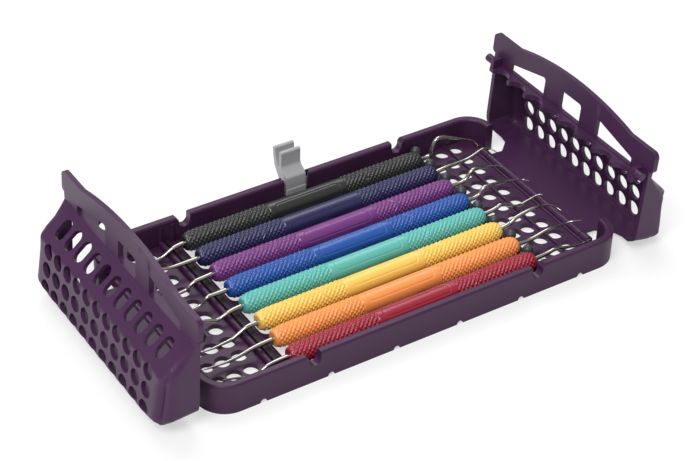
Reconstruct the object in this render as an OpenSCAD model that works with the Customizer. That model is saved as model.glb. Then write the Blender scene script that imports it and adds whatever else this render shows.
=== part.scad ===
// Dental instrument cassette: a perforated tray with a hinged perforated lid at each end,
// silicone rails, an accessory clip and eight double-ended hand instruments.
// Lids are shown open. Millimetres, +Z up, origin at the middle of the tray's underside.

/* [Tray] */
// Room for the working ends beyond each end of the handles
end_room = 38.75; // [38.5:0.25:50]
// Overall width along Y
tray_width = 105.6; // [100:0.2:130]
// Plan radius of the outer corners
tray_corner = 12; // [8:0.5:20]
// Height of the side walls
wall_height = 13.4; // [11:0.2:20]
// Thickness of the side walls
wall_thick = 3.6; // [2:0.1:5]
// Thickness of the perforated floor
floor_thick = 2.2; // [1.5:0.1:4]
// Rounding of the rim edges
rim_round = 1.1; // [0.4:0.1:1.6]
// Half width of the open end between the wall ends
end_gap = 39.5; // [30:0.5:45]

/* [Floor openings] */
// Radius of the floor holes
floor_hole_r = 3.2; // [2:0.1:3.6]
// Spacing of the hole rows along Y
floor_hole_pitch = 9; // [8:0.1:12]
// Spacing of the hole columns along X
floor_column_pitch = 7.3; // [7:0.1:9]
// Distance of the innermost hole columns from the left rail
left_column_gap = 10.2; // [8:0.1:12]
// Distance of the innermost hole columns from the right rail
right_column_gap = 6.1; // [5.5:0.1:10]
// Distance of the field of openings from the rails
window_gap = 3.9; // [3.5:0.1:10]
// Half width of the field of openings
window_side = 45.6; // [30:0.2:46]
// Openings in a row along X
window_columns = 5; // [3:1:7]
// Rows of openings along Y
window_rows = 4; // [2:1:6]
// Width of the bars between the openings
window_bar = 4; // [3:0.5:8]
// Plan radius of the large openings
window_corner = 3; // [1:0.5:6]

/* [Handles] */
// Number of instruments
handle_count = 8; // [2:2:8]
// Spacing of the instruments
handle_pitch = 11.77; // [11:0.01:13]
// Length of a handle
handle_length = 116.5; // [100:0.5:130]
// Middle of the handles along X
handle_x = 0.45; // [-2:0.05:2]
// Greatest radius of a handle
handle_r = 4.6; // [3.5:0.1:5]
// Radius of the smooth middle of a handle
handle_mid_r = 4.35; // [3:0.05:5]
// Radius of a handle at its ends
handle_end_r = 3.5; // [2.5:0.1:4]
// Length of the smooth middle
handle_mid_length = 37; // [20:1:60]
// Length of the taper at each end
handle_taper = 9; // [4:0.5:15]
// Gap between a resting handle and the floor
handle_rest_gap = 0.3; // [0.1:0.05:0.6]
// How far the right ends lie from their places in the row
lie_right = -0.3; // [-0.5:0.05:0.5]
// How far the left ends lie from their places in the row
lie_left = -1.0; // [-1.1:0.05:1.1]

/* [Working ends] */
// Radius of a steel shank where it leaves its handle
shank_r = 1.1; // [0.8:0.05:1.5]
// Radius at the point
point_r = 0.3; // [0.2:0.05:0.6]
// Length of shank held inside the handle
tang_length = 7; // [4:0.5:12]
// Radial gap round a tang in its socket
socket_gap = 0.03; // [0.01:0.01:0.1]

/* [Hinges] */
// Distance of the hinge axes from the tray's ends
hinge_inset = 6.1; // [5.5:0.1:7]
// Height of the hinge axes
hinge_z = 2; // [1.9:0.1:4]
// Radius of the hinge barrels
barrel_r = 1.9; // [1.5:0.05:2.4]
// Half length of the lid's barrel
barrel_half = 33; // [20:0.5:36]
// Length of each hinge lug on the tray
lug_length = 4.7; // [3:0.1:6]
// Gap between barrel and lugs, and between barrel and floor
hinge_gap = 0.35; // [0.2:0.05:1]
// Radius of the hinge pin
pin_r = 0.8; // [0.5:0.05:1.1]
// Radial running gap round the pin
pin_gap = 0.05; // [0.01:0.01:0.1]

/* [Lids] */
// Half width of a lid over its caps
lid_half = 52.8; // [50:0.1:65]
// Thickness of the lid's panels
lid_thick = 1.9; // [1.4:0.1:2.6]
// Thickness of the end panel
panel_thick = 1.3; // [1:0.1:1.8]
// Thickness of the end caps
cap_thick = 2; // [1.4:0.1:3]
// Plan radius between end panel and caps
lid_plan_r = 6.5; // [5:0.5:14]
// Offset of the end panel's outer face from the hinge axis, outward negative
panel_u = -0.1; // [-0.1:0.05:0.5]
// Height of the lid's top over the hinge axis, at its outer edge
lid_top = 29.5; // [25:0.05:36]
// Radius of the edge between top and end panel
lid_corner_r = 4.6; // [2.2:0.1:6]
// Radius of the edges over the caps
cap_edge_r = 4.6; // [2.5:0.1:6]
// Radius between top and sloped face
lid_slope_r = 2; // [1:0.5:4]
// Underside of the band over the hinge axis
band_z = 11.8; // [11.6:0.1:20]
// Thickness of the band
band_thick = 2.2; // [1.5:0.1:3]
// Distance from hinge axis to the free edge, in the middle
band_edge = 54.1; // [50:0.1:60]
// Reach of the ears beyond the caps
ear_reach = 1.9; // [0.5:0.1:3]
// Angle of the left lid, open
left_open = 87.85; // [80:0.05:93]
// Angle of the right lid, open
right_open = 93.73; // [80:0.05:94]

/* [Lid openings] */
// Radius of the round holes
lid_hole_r = 3.3; // [2:0.1:3.6]
// Spacing of holes and slots along the lid
lid_pitch = 8.2; // [7.6:0.1:9]
// Holes in a row
lid_columns = 11; // [5:2:11]
// Width of a slot in the sloped face
slot_width = 5.6; // [3:0.1:6.5]
// Length of a slot in the sloped face
slot_length = 9.4; // [7:0.1:10]

/* [Comb and pegs] */
// Distance of the comb's face from the hinge axis, along the closed lid
comb_u = 36; // [35:0.1:38]
// Distance of the pegs from the hinge axis, along the closed lid
peg_u = 38.1; // [36:0.1:40]
// Height of the pegs over the hinge axis, closed
peg_v = 8.5; // [7:0.1:10]
// Radius of the pegs
peg_r = 1.8; // [1:0.1:2.3]
// Thickness of the comb
comb_thick = 2.2; // [1.5:0.1:3]
// Radial gap between comb and handle
comb_gap = 0.6; // [0.3:0.05:1]
// Height of the comb's points over the hinge axis, closed
comb_tip = 6.5; // [5.5:0.1:9]
// Gap between the comb and the tray walls
comb_side_gap = 0.4; // [0.2:0.1:1]
// Gap of a closed peg in its notch
notch_gap = 0.8; // [0.3:0.1:1.5]

/* [Rails] */
// Distance of the rail channels from the ends of centred handles
rail_gap = 2.45; // [2.3:0.05:5]
// Width of the silicone strip
rail_width = 2.6; // [2:0.1:3]
// Height of the channel's ridges above the floor
ridge_height = 2.2; // [1:0.1:3]
// Height above the floor of the low ridges that pass under the handles
low_ridge = 0.9; // [0.6:0.1:1.2]
// Clear gap round the silicone
soft_gap = 0.3; // [0.2:0.05:0.5]
// Radius of a finger's bulb
finger_r = 2.3; // [1.5:0.1:2.6]
// Height of a finger's top
finger_top = 9.7; // [8:0.1:12]

/* [Clip] */
// Middle of the clip along X
clip_x = 1.4; // [-10:0.1:10]
// Width of the clip
clip_width = 9.6; // [6:0.1:14]
// Thickness of the clip's arms
clip_thick = 2; // [1.4:0.1:2.6]
// Height of the clip's arms
clip_top = 24.3; // [20:0.1:30]
// Gap at each side of the clip in its cut-out
clip_side_gap = 1.2; // [0.4:0.1:2]
// Sliding gap of the clip's tongues in their grooves
tongue_gap = 0.1; // [0.05:0.01:0.2]
// Height of the cut-out's sill
clip_sill = 4.4; // [3:0.1:6]

/* [Display] */
// Which sub-part to draw

/* [Hidden] */
$fn = 48;
eps = 0.01;
tray_length = handle_length + 2 * end_room;
hinge_x = tray_length / 2 - hinge_inset;
rail_x = handle_length / 2 + rail_gap;
left_column_x = rail_x + left_column_gap;
right_column_x = rail_x + right_column_gap;
window_end = rail_x - window_gap;
half_l = tray_length / 2;
half_w = tray_width / 2;
inner_y = half_w - wall_thick;
axis_z = floor_thick + handle_rest_gap + handle_r;
row_y = [for (i = [0:handle_count - 1]) handle_pitch * ((handle_count - 1) / 2 - i)];
yaw = atan((lie_right - lie_left) / handle_length);
lie_mid = (lie_right + lie_left) / 2;
ridge_top = floor_thick + ridge_height;
channel_w = rail_width + 2 * soft_gap;
finger_y = inner_y - soft_gap - finger_r - 0.02;
band_top = band_z + band_thick;
floor_end = hinge_x - barrel_r - hinge_gap;

// Lid profile in closed position: u runs inward from the hinge axis, v upward
foot_out = [panel_u - 0.02, 0];
panel_high = [panel_u - 0.02, lid_top];
slope_high = [24.6, lid_top - 2.85];
slope_run = slope_high[1] - band_top;
slope_low = [slope_high[0] + slope_run * 0.917, band_top];
slope_angle = atan2(slope_high[1] - slope_low[1], slope_low[0] - slope_high[0]);
foot_in = [slope_low[0], 0];
lid_pts = [foot_out, panel_high, slope_high, slope_low, foot_in];
lid_radii = [0, lid_corner_r, lid_slope_r, 0, 0];
top_lean = atan2(panel_high[1] - slope_high[1], slope_high[0] - panel_high[0]);

// Bend points of each shank: distance from the handle's end, sideways drift, rise
right_bends = [
    [
        [5.3, 0, -0.5], [6.6, 0, 4], [8, 0, 7.2], [10.5, 0, 8.2],
        [18.2, 0, 5], [26.5, 0, 1.5], [29.8, 0, -0.9], [30.4, -2, -2.3]
    ],
    [
        [5.7, 0, 0.9], [12.6, 0, 0.8], [18.4, 0, 1.1], [24.6, 0, 3.7],
        [27.2, 0, 3.6], [30.1, 0, 2.1], [30.4, -4, 2.5]
    ],
    [
        [5.2, 0, -0.1], [8.3, 0, 0.7], [10.6, 0, 4.6], [13.2, 0, 4.9],
        [23.5, 0, 2.9], [27.4, 0, 0.4], [29.8, -1.5, -2.4]
    ],
    [
        [6.2, 0, -0.2], [8.5, 0, 3.6], [10.6, 0, 3.9], [18, 0, 3.1],
        [25.5, 0, 1.7], [29.9, 0, 0.2], [30.4, -3.2, 1.4]
    ],
    [
        [6.7, 0, 0.6], [9.1, 0, 2.2], [12.9, 0, 0.7], [18.7, 0, -2.7],
        [24.6, 0, -1.1], [29.9, 0, -0.2], [30.4, -2, 0.3]
    ],
    [
        [5.1, 0, 0.7], [8, 0, 2.9], [14, 0, 4.3], [20.2, 0, 4.6],
        [25.1, 0, 3.5], [29.4, 0, 0.9], [30.4, -2.8, 0.3]
    ],
    [[8.3, 0, -0.6], [16.3, 0, 1.7], [22.1, 0, 1.1], [28.4, 0, 1], [30.4, -4.3, 3.6]],
    [
        [8.1, 0, 0.4], [11.1, 0, 1.3], [17, 0, -0.4],
        [23.9, 0, -1.9], [27.5, 0, -1.5], [30.1, 0, -1.2]
    ]
];
left_bends = [
    [[3.2, 0, -0.2], [6, 0, -0.9], [8.8, 0, -2.7], [12, 0, -3.9], [19, 0, -3.5], [25, 0, -2.2]],
    [[6.4, 0, 0], [13.2, 0, 0.2], [17.5, 0, 1.4], [22, 0, 1.2], [26, 0, -1.5]],
    [
        [3.7, 0, -0.3], [7.8, 0, -0.4], [10.5, 0, -1.8],
        [12.8, 0, -3.7], [19, 0, -3.6], [26, 0, -2.2]
    ],
    [
        [5.2, 0, -0.1], [8.4, 0, 0.2], [10.2, 0, -0.9],
        [12.5, 0, -3.2], [18, 0, -3.7], [26, 0, -2.5]
    ],
    [
        [5, 0, -0.4], [8.1, 0, -1.4], [11.3, 0, -2.8],
        [15.2, 0, -0.9], [20, 0, 0.4], [26, 0, -1.4]
    ],
    [
        [4.9, 0, -0.2], [8.5, 0, -2.2], [11.6, 0, -3.8],
        [14.7, 0, -4], [20.4, -0.6, -4.1], [25.8, 0, -4]
    ],
    [[8, 0, -0.3], [16, 0, -2.3], [23, 0, -2.5], [30.3, 0, -1.8]],
    [
        [5.1, 0, 0], [9.9, 0, -0.6], [12.1, 0, -1.9], [13.9, 0, -2.6],
        [18.7, 0, -2.2], [23, 0, -0.5], [29, 0, 1.2]
    ]
];
handle_colors = [
    [0.13, 0.13, 0.13], [0.14, 0.14, 0.32], [0.45, 0.20, 0.50], [0.12, 0.32, 0.68],
    [0.30, 0.72, 0.66], [0.95, 0.80, 0.35], [0.96, 0.58, 0.28], [0.55, 0.12, 0.18]
];
resin = [0.30, 0.17, 0.30];
steel = [0.75, 0.74, 0.71];
silicone = [0.18, 0.21, 0.24];

// Helpers

function unit(a) = a / norm(a);
function half_turn(a, p, b) = acos(unit(a - p) * unit(b - p)) / 2;
function fillet_center(a, p, b, r) =
    p + unit(unit(a - p) + unit(b - p)) * r / sin(half_turn(a, p, b));
function tangent_to(a, p, b, r) = p + unit(a - p) * r / tan(half_turn(a, p, b));

// Polygon with its convex corners rounded by true arcs
module rounded_profile(pts, radii) {
    n = len(pts);
    polygon([
        for (i = [0:n - 1])
            for (k = [0, 1])
                radii[i] == 0
                    ? pts[i]
                    : k == 0
                        ? tangent_to(pts[(i + n - 1) % n], pts[i], pts[(i + 1) % n], radii[i])
                        : tangent_to(pts[(i + 1) % n], pts[i], pts[(i + n - 1) % n], radii[i])
    ]);
    for (i = [0:n - 1]) {
        if (radii[i] > 0) {
            translate(fillet_center(pts[(i + n - 1) % n], pts[i], pts[(i + 1) % n], radii[i]))
                circle(r = radii[i] - 0.01);
        }
    }
}

// Rectangle with rounded corners, centred
module round_rect(l, w, r) {
    square([l - 2 * r, w], center = true);
    square([l, w - 2 * r], center = true);
    for (x = [-1, 1], y = [-1, 1]) {
        translate([x * (l / 2 - r), y * (w / 2 - r)])
            circle(r = r);
    }
}

// Extrude a drawing of (u, v) along Y, from -y to y
module across(y) {
    translate([0, y, 0])
        rotate([90, 0, 0])
            linear_extrude(height = 2 * y)
                children();
}

// Cylinder lying along Y between two stations
module y_rod(r, y0, y1) {
    translate([0, y1, 0])
        rotate([90, 0, 0])
            cylinder(r = r, h = y1 - y0);
}

// Tray

// Section of the side wall: outer face at x = 0, wall toward negative x
module wall_section() {
    difference() {
        union() {
            translate([-wall_thick, 0])
                square([wall_thick, wall_height - rim_round]);
            translate([-wall_thick + rim_round, 0])
                square([wall_thick - 2 * rim_round, wall_height]);
            for (x = [-rim_round, rim_round - wall_thick]) {
                translate([x, wall_height - rim_round])
                    circle(r = rim_round);
            }
        }
    }
}

module straight_wall() {
    rotate([90, 0, 90])
        translate([0, 0, -(half_l - tray_corner)])
            linear_extrude(height = tray_length - 2 * tray_corner)
                wall_section();
}

module corner_wall() {
    rotate_extrude(angle = 90)
        translate([tray_corner, 0])
            wall_section();
}

module stub_wall() {
    translate([0, -(half_w - tray_corner - end_gap), 0])
        rotate([90, 0, 0])
            translate([0, 0, -(half_w - tray_corner - end_gap)])
                linear_extrude(height = half_w - tray_corner - end_gap)
                    wall_section();
}

module tray_walls() {
    for (s = [0, 1]) {
        rotate([0, 0, 180 * s]) {
            translate([0, half_w, 0])
                straight_wall();
            translate([half_l - tray_corner, half_w - tray_corner, 0])
                corner_wall();
            translate([half_l, half_w - tray_corner, 0])
                stub_wall();
            mirror([1, 0, 0]) {
                translate([half_l - tray_corner, half_w - tray_corner, 0])
                    corner_wall();
                translate([half_l, half_w - tray_corner, 0])
                    stub_wall();
            }
        }
    }
}

module floor_plate() {
    inset = wall_thick / 2;
    difference() {
        linear_extrude(height = floor_thick)
            round_rect(tray_length - 2 * inset, tray_width - 2 * inset, tray_corner - inset);
        for (s = [-1, 1]) {
            translate([s * (floor_end + 10), 0, 0])
                cube([20, 2 * end_gap, 3 * floor_thick], center = true);
        }
    }
}

// Ridge along Y with a rounded top, from the floor up
module ridge(x, w, top, y) {
    translate([x - w / 2, -y, floor_thick / 2])
        cube([w, 2 * y, top - w / 2 - floor_thick / 2]);
    translate([x, 0, top - w / 2])
        y_rod(w / 2, -y, y);
}

module floor_ridges() {
    y = inner_y + wall_thick / 2;
    outer_w = 2.6;
    inner_w = 1.8;
    for (s = [-1, 1]) {
        ridge(s * (rail_x - channel_w / 2 - inner_w / 2), inner_w, floor_thick + low_ridge, y);
    }
    ridge(-(rail_x + channel_w / 2 + outer_w / 2), outer_w, ridge_top + 0.2, y);
    ridge(rail_x + channel_w / 2 + 0.6, 1.2, floor_thick + 1, y);
    ridge(right_column_x + 1.5 * floor_column_pitch, 1.2, floor_thick + 1, y);
    for (s = [-1, 1]) {
        ridge(s * (floor_end - 0.8), 1.2, floor_thick + 0.8, end_gap);
    }
}

// Half-round ribs on the inside of the rear wall, by the left rail
module wall_ribs() {
    for (d = [3, -2.5]) {
        translate([-rail_x - d, inner_y + 0.3, floor_thick / 2])
            cylinder(r = 1, h = wall_height - 2.2 - floor_thick / 2);
    }
}

module hinge_lugs() {
    y0 = barrel_half + hinge_gap;
    for (x = [-1, 1], y = [-1, 1]) {
        translate([x * hinge_x, y * (y0 + lug_length / 2), hinge_z]) {
            y_rod(barrel_r, -lug_length / 2, lug_length / 2);
            translate([-x * (barrel_r + hinge_gap + 1) / 2, 0, -(barrel_r - floor_thick + hinge_z) / 2])
                cube([barrel_r + hinge_gap + 1, lug_length, floor_thick - hinge_z + barrel_r], center = true);
        }
    }
}

module floor_holes() {
    for (i = [0:2], j = [-5:5]) {
        y = j * floor_hole_pitch;
        last = i == 2 ? 0.5 : 0;
        translate([-left_column_x - i * floor_column_pitch + last, y, -1])
            cylinder(r = floor_hole_r - last, h = floor_thick + 2);
        translate([right_column_x + i * floor_column_pitch, y, -1])
            cylinder(r = floor_hole_r, h = floor_thick + 2);
    }
}

module floor_windows() {
    long = (window_end * 2 + window_bar) / window_columns;
    wide = (window_side * 2 + window_bar) / window_rows;
    for (i = [0:window_columns - 1], j = [0:window_rows - 1]) {
        translate([
            long * (i - (window_columns - 1) / 2),
            wide * (j - (window_rows - 1) / 2),
            -1
        ])
            linear_extrude(height = floor_thick + 2)
                round_rect(long - window_bar, wide - window_bar, window_corner);
    }
}

// Notch in a side wall that takes a lid peg: open at the top
module peg_notch() {
    low = hinge_z + peg_v - notch_gap - peg_r;
    r = peg_r + notch_gap;
    inside = -0.4;
    flare = 1.3;
    rotate([90, 0, 0])
        linear_extrude(height = 3 * wall_thick, center = true) {
            translate([inside, low + r])
                circle(r = r);
            translate([inside - r, low + r])
                square([2 * r, wall_height]);
            polygon([
                [inside + r - 0.2, wall_height - 1.7],
                [inside + r + 0.3, wall_height - 1.4],
                [inside + r + flare, wall_height + 0.1],
                [inside + r - 0.2, wall_height + 0.1]
            ]);
        }
}

module wall_notches() {
    for (x = [-1, 1], y = [-1, 1]) {
        translate([x * (hinge_x - peg_u), y * (half_w - wall_thick / 2), 0])
            mirror([x < 0 ? 1 : 0, 0, 0])
                peg_notch();
    }
    for (i = [-2.5:2.5], y = [-1, 1]) {
        translate([i * tray_length / 6.4667, y * half_w, 0])
            y_rod(1.5, -wall_thick, wall_thick);
    }
}

module clip_cutout() {
    w = clip_width + 2 * clip_side_gap;
    groove = clip_side_gap + 0.9;
    translate([clip_x - w / 2, inner_y - 1, clip_sill])
        cube([w, wall_thick + 2, wall_height]);
    translate([clip_x - clip_width / 2 - groove, inner_y + 1.2 - tongue_gap, clip_sill])
        cube([clip_width + 2 * groove, 1.2 + 2 * tongue_gap, wall_height]);
}

module tray() {
    color(resin)
        difference() {
            union() {
                tray_walls();
                floor_plate();
                floor_ridges();
                wall_ribs();
                hinge_lugs();
            }
            floor_holes();
            floor_windows();
            wall_notches();
            clip_cutout();
            for (s = [-1, 1]) {
                translate([s * hinge_x, 0, hinge_z])
                    y_rod(pin_r + 0.02, -half_w / 1.2, half_w / 1.2);
            }
        }
}

module hinge_pin(s) {
    end = barrel_half + hinge_gap + lug_length - 0.2;
    color(steel)
        translate([s * hinge_x, 0, hinge_z])
            y_rod(pin_r, -end, end);
}

module left_hinge_pin() {
    hinge_pin(-1);
}

module right_hinge_pin() {
    hinge_pin(1);
}

// Silicone rails

module rail_strip(s) {
    translate([s * rail_x - rail_width / 2, -inner_y + soft_gap, floor_thick + soft_gap])
        cube([rail_width, 2 * (inner_y - soft_gap), ridge_height - soft_gap]);
}

module finger() {
    base = floor_thick + ridge_height - 0.4;
    center = finger_top - finger_r;
    rotate_extrude()
        polygon([
            [0, base], [rail_width / 2, base], [finger_r - 0.2, center - 1], [finger_r - 0.2, center],
            [0, center]
        ]);
    translate([0, 0, center])
        sphere(r = finger_r);
}

module left_rail() {
    color(silicone)
        rail_strip(-1);
}

module right_rail() {
    color(silicone)
        union() {
            rail_strip(1);
            for (i = [0:handle_count]) {
                y = handle_pitch * (handle_count / 2 - i);
                translate([rail_x, max(-finger_y, min(finger_y, y)), 0])
                    finger();
            }
        }
}

// Lids, drawn closed with the hinge axis at the origin

module lid_pose(side) {
    open = side < 0 ? left_open : right_open;
    rotate([0, 0, side < 0 ? 0 : 180])
        translate([-hinge_x, 0, hinge_z])
            rotate([0, -open, 0])
                children();
}

function inset_point(i, t) =
    let (n = len(lid_pts), a = lid_pts[(i + n - 1) % n], p = lid_pts[i], b = lid_pts[(i + 1) % n])
    fillet_center(a, p, b, t);

module inner_profile() {
    t = lid_thick;
    thinner = t - panel_thick;
    rounded_profile(
        [
            [panel_high[0] + panel_thick, -barrel_r - 1],
            inset_point(1, t) + thinner * [-1, tan(top_lean)],
            inset_point(2, t), [slope_low[0] - t / sin(slope_angle), band_top],
            [slope_low[0] - t / sin(slope_angle), -barrel_r - 1]
        ],
        [0, lid_corner_r - t, 0, 0, 0]
    );
}

// Plan of the lid in (u, y): rounded where the end panel turns into the caps
module lid_plan(u, half, r) {
    translate([u + r, -half])
        square([60, 2 * half]);
    translate([u, r - half])
        square([60, 2 * (half - r)]);
    for (s = [-1, 1]) {
        translate([u + r, s * (half - r)])
            circle(r = r);
    }
}

module lid_column(u, half, r) {
    translate([0, 0, -barrel_r - 2])
        linear_extrude(height = lid_top + barrel_r + 6)
            lid_plan(u, half, r);
}

// Space under a top plane, depth below the lid's, with rounded edges over the caps
module cap_edges(w, depth, r) {
    translate([panel_high[0], 0, lid_top])
        rotate([0, top_lean, 0])
            translate([-20, 0, -depth])
                rotate([90, 0, 90])
                    linear_extrude(height = 90)
                        union() {
                            translate([-w, -70])
                                square([2 * w, 70 - r]);
                            translate([r - w, -70])
                                square([2 * (w - r), 70]);
                            for (s = [-1, 1]) {
                                translate([s * (w - r), -r])
                                    circle(r = r);
                            }
                        }
}

// Everything under the rim of the caps
module under_rim() {
    translate([-20, -2 * lid_half, -30])
        cube([80, 4 * lid_half, 30 + band_z]);
}

// Space left free under the ends of the end panel, which swing over the wall ends
module panel_relief() {
    swing = norm([hinge_inset - rim_round, wall_height - rim_round - hinge_z]) + rim_round + 0.5;
    for (s = [-1, 1]) {
        translate([-10, 0, 0])
            rotate([90, 0, 90])
                linear_extrude(height = 20)
                    polygon([
                        [s * barrel_half, -5], [s * barrel_half, 7], [s * (end_gap - 0.8), swing],
                        [s * (end_gap + 3), swing], [s * (lid_half - 3.5), band_z],
                        [s * (lid_half + 5), band_z], [s * (lid_half + 5), -5]
                    ]);
    }
}

module lid_shell() {
    difference() {
        intersection() {
            across(lid_half + 1)
                rounded_profile(lid_pts, lid_radii);
            lid_column(panel_u, lid_half, lid_plan_r);
            cap_edges(lid_half + 0.02, -0.02, cap_edge_r);
        }
        intersection() {
            across(lid_half - cap_thick + 1)
                inner_profile();
            lid_column(panel_u + panel_thick, lid_half - cap_thick, lid_plan_r - cap_thick);
            cap_edges(lid_half - cap_thick + 0.02, lid_thick - 0.02, cap_edge_r - cap_thick);
        }
        translate([panel_u + panel_thick + 0.05, 0, 0])
            intersection() {
                under_rim();
                translate([0, -2 * lid_half, -30])
                    cube([80, 4 * lid_half, 60]);
            }
        panel_relief();
        translate([-10, -lid_half - 1, -40])
            cube([20, 2 * lid_half + 2, 40]);
    }
    y_rod(barrel_r, -barrel_half, barrel_half);
}

// Plan of the band in (u, y), with an ear at each end
module band_plan() {
    bow_r = 145;
    ear_u = band_edge - 5;
    ear_y = lid_half + ear_reach;
    window_u = comb_u + 0.3;
    difference() {
        union() {
            intersection() {
                translate([slope_low[0] - lid_thick, -lid_half])
                    square([band_edge - slope_low[0] + 5, 2 * lid_half]);
                translate([band_edge - bow_r, 0])
                    circle(r = bow_r, $fn = 96);
            }
            for (s = [0, 1]) {
                mirror([0, s])
                    band_ear(ear_u, ear_y);
            }
        }
        translate([window_u + 4.7, 0])
            round_rect(9.4, 14, 1.4);
        for (s = [0, 1]) {
            mirror([0, s])
                rounded_profile(
                    [[window_u, 17.5], [window_u, 41.4], [window_u + 3.7, 41.4], [window_u + 9.4, 17.5]],
                    [0.6, 0.5, 0.8, 1.2]
                );
        }
    }
}

// Ear that sticks out past the cap: u up to far, y up to reach
module band_ear(far, reach) {
    low = far - 9.4;
    translate([low, 36])
        square([9.4, reach - 2.5 - 36]);
    translate([low, 36])
        square([6.9, reach - 1.6 - 36]);
    translate([low + 1.6, 36])
        square([5.3, reach - 36]);
    translate([far - 2.5, reach - 2.5])
        circle(r = 2.5);
    translate([low + 1.6, reach - 1.6])
        circle(r = 1.6);
}

module lid_band() {
    translate([0, 0, band_z])
        linear_extrude(height = band_thick)
            band_plan();
}

module lid_openings() {
    top_u = [5.56, 13.8, 21.96];
    slope_mid = [(slope_high[0] + slope_low[0]) / 2 + 0.2, (slope_high[1] + slope_low[1]) / 2 - 0.2];
    for (i = [0:lid_columns - 1]) {
        y = lid_pitch * (i - (lid_columns - 1) / 2);
        for (u = top_u) {
            translate([u, y, lid_top - 9])
                cylinder(r = lid_hole_r, h = 12);
        }
        translate([slope_mid[0], y, slope_mid[1]])
            rotate([0, slope_angle, 0])
                translate([0, 0, -4])
                    linear_extrude(height = 8) {
                        square([slot_length - slot_width, slot_width], center = true);
                        for (s = [-1, 1]) {
                            translate([s * (slot_length - slot_width) / 2, 0])
                                circle(r = slot_width / 2);
                        }
                    }
    }
}

module lid() {
    color(resin)
        difference() {
            union() {
                lid_shell();
                lid_band();
            }
            lid_openings();
            y_rod(pin_r + pin_gap, -lid_half, lid_half);
        }
}

module left_lid() {
    lid_pose(-1)
        lid();
}

module right_lid() {
    lid_pose(1)
        lid();
}

// Comb under the band that holds the handles down, with a peg at each end
module comb() {
    reach = inner_y - comb_side_gap;
    arch_v = axis_z - hinge_z;
    arch_r = handle_r + comb_gap;
    color(resin)
        difference() {
            union() {
                translate([comb_u - comb_thick, -reach, comb_tip])
                    cube([comb_thick, 2 * reach, band_z - comb_tip]);
                for (s = [-1, 1]) {
                    translate([comb_u - comb_thick, s > 0 ? reach - 2 : -reach, peg_v - peg_r])
                        cube([peg_u + peg_r - comb_u + comb_thick, 2, band_z - peg_v + peg_r]);
                }
                translate([peg_u, 0, peg_v])
                    y_rod(peg_r, -half_w, half_w);
            }
            translate([comb_u + eps, -reach + 2, comb_tip - 5])
                cube([10, 2 * reach - 4, 5 + band_z - comb_tip + 1]);
            for (y = row_y) {
                translate([peg_u - 10, y, arch_v])
                    rotate([0, 90, 0])
                        cylinder(r = arch_r, h = 20);
            }
        }
}

module left_comb() {
    lid_pose(-1)
        comb();
}

module right_comb() {
    lid_pose(1)
        comb();
}

// Accessory clip

module clip_profile() {
    t = clip_thick;
    front = inner_y;
    arm = front + 4.7;
    low = clip_sill + 0.3;
    tip = clip_top - 0.5 * t;
    polygon([
        [front - 0.25, low], [front - 0.25, 8], [front + 0.1, 8.2], [front + 0.15, 13.2],
        [front + 0.7, 14.4], [arm - 0.8, 16.4], [arm, 17.8], [arm, tip], [arm + t, tip],
        [arm + t, 16.8], [arm + t + 0.35, 16], [arm + t + 0.9, 16.8], [arm + t + 2.6, 20.4],
        [arm + t + 3.2, tip], [arm + 2 * t + 3, tip], [arm + 2 * t + 2.9, 20.2],
        [arm + 2 * t + 1.8, 15.6], [arm + t + 0.4, 10.6], [arm - 0.6, 8.4],
        [front + t, 7.6], [front + t, low]
    ]);
    for (y = [arm + t / 2, arm + 1.5 * t + 3.1]) {
        translate([y, tip])
            circle(r = t / 2);
    }
}

module clip() {
    tongue = clip_side_gap + 0.8;
    color([0.62, 0.63, 0.63])
        union() {
            translate([clip_x - clip_width / 2, 0, 0])
                rotate([90, 0, 90])
                    linear_extrude(height = clip_width)
                        clip_profile();
            translate([clip_x - clip_width / 2 - tongue, inner_y + 1.2, clip_sill + 0.3])
                cube([clip_width + 2 * tongue, 1.2, 6]);
        }
}

// Instruments

module instrument_pose(i) {
    translate([handle_x, row_y[i] + lie_mid, axis_z])
        rotate([0, 0, yaw])
            children();
}

module handle(i) {
    l = handle_length / 2;
    m = handle_mid_length / 2;
    color(handle_colors[i])
        instrument_pose(i)
            rotate([0, 90, 0])
                difference() {
                    rotate_extrude()
                        polygon([
                            [0, -l], [handle_end_r - 0.8, -l], [handle_end_r, -l + 0.8],
                            [handle_r - 0.3, -l + handle_taper * 0.6], [handle_r, -l + handle_taper],
                            [handle_r, -m], [handle_mid_r, -m + 0.2], [handle_mid_r, m - 0.2],
                            [handle_r, m], [handle_r, l - handle_taper],
                            [handle_r - 0.3, l - handle_taper * 0.6], [handle_end_r, l - 0.8],
                            [handle_end_r - 0.8, l], [0, l]
                        ]);
                    for (s = [-1, 1]) {
                        translate([0, 0, s * l])
                            cylinder(r = shank_r + socket_gap, h = 2 * (tang_length + shank_r) + 0.2, center = true);
                    }
                }
}

function shank_at(k, n) = shank_r - (shank_r - point_r) * k / n;

// Ball at a bend of a shank
module bend_ball(at, r) {
    translate(at)
        sphere(r = r, $fn = 10);
}

// Shank from the tang's inner end through its bend points, tapering to the point
module shank(points) {
    n = len(points);
    stops = concat([[0, 0, 0]], points);
    hull() {
        bend_ball([-tang_length, 0, 0], shank_r);
        bend_ball(stops[0], shank_r);
    }
    for (k = [1:n]) {
        hull() {
            bend_ball(stops[k - 1], shank_at(k - 1, n));
            bend_ball(stops[k], shank_at(k, n));
        }
    }
}

module tip(i, side) {
    color(steel)
        instrument_pose(i)
            mirror([side < 0 ? 1 : 0, 0, 0])
                translate([handle_length / 2, 0, 0])
                    shank(side < 0 ? left_bends[i] : right_bends[i]);
}

// Nodes

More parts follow.
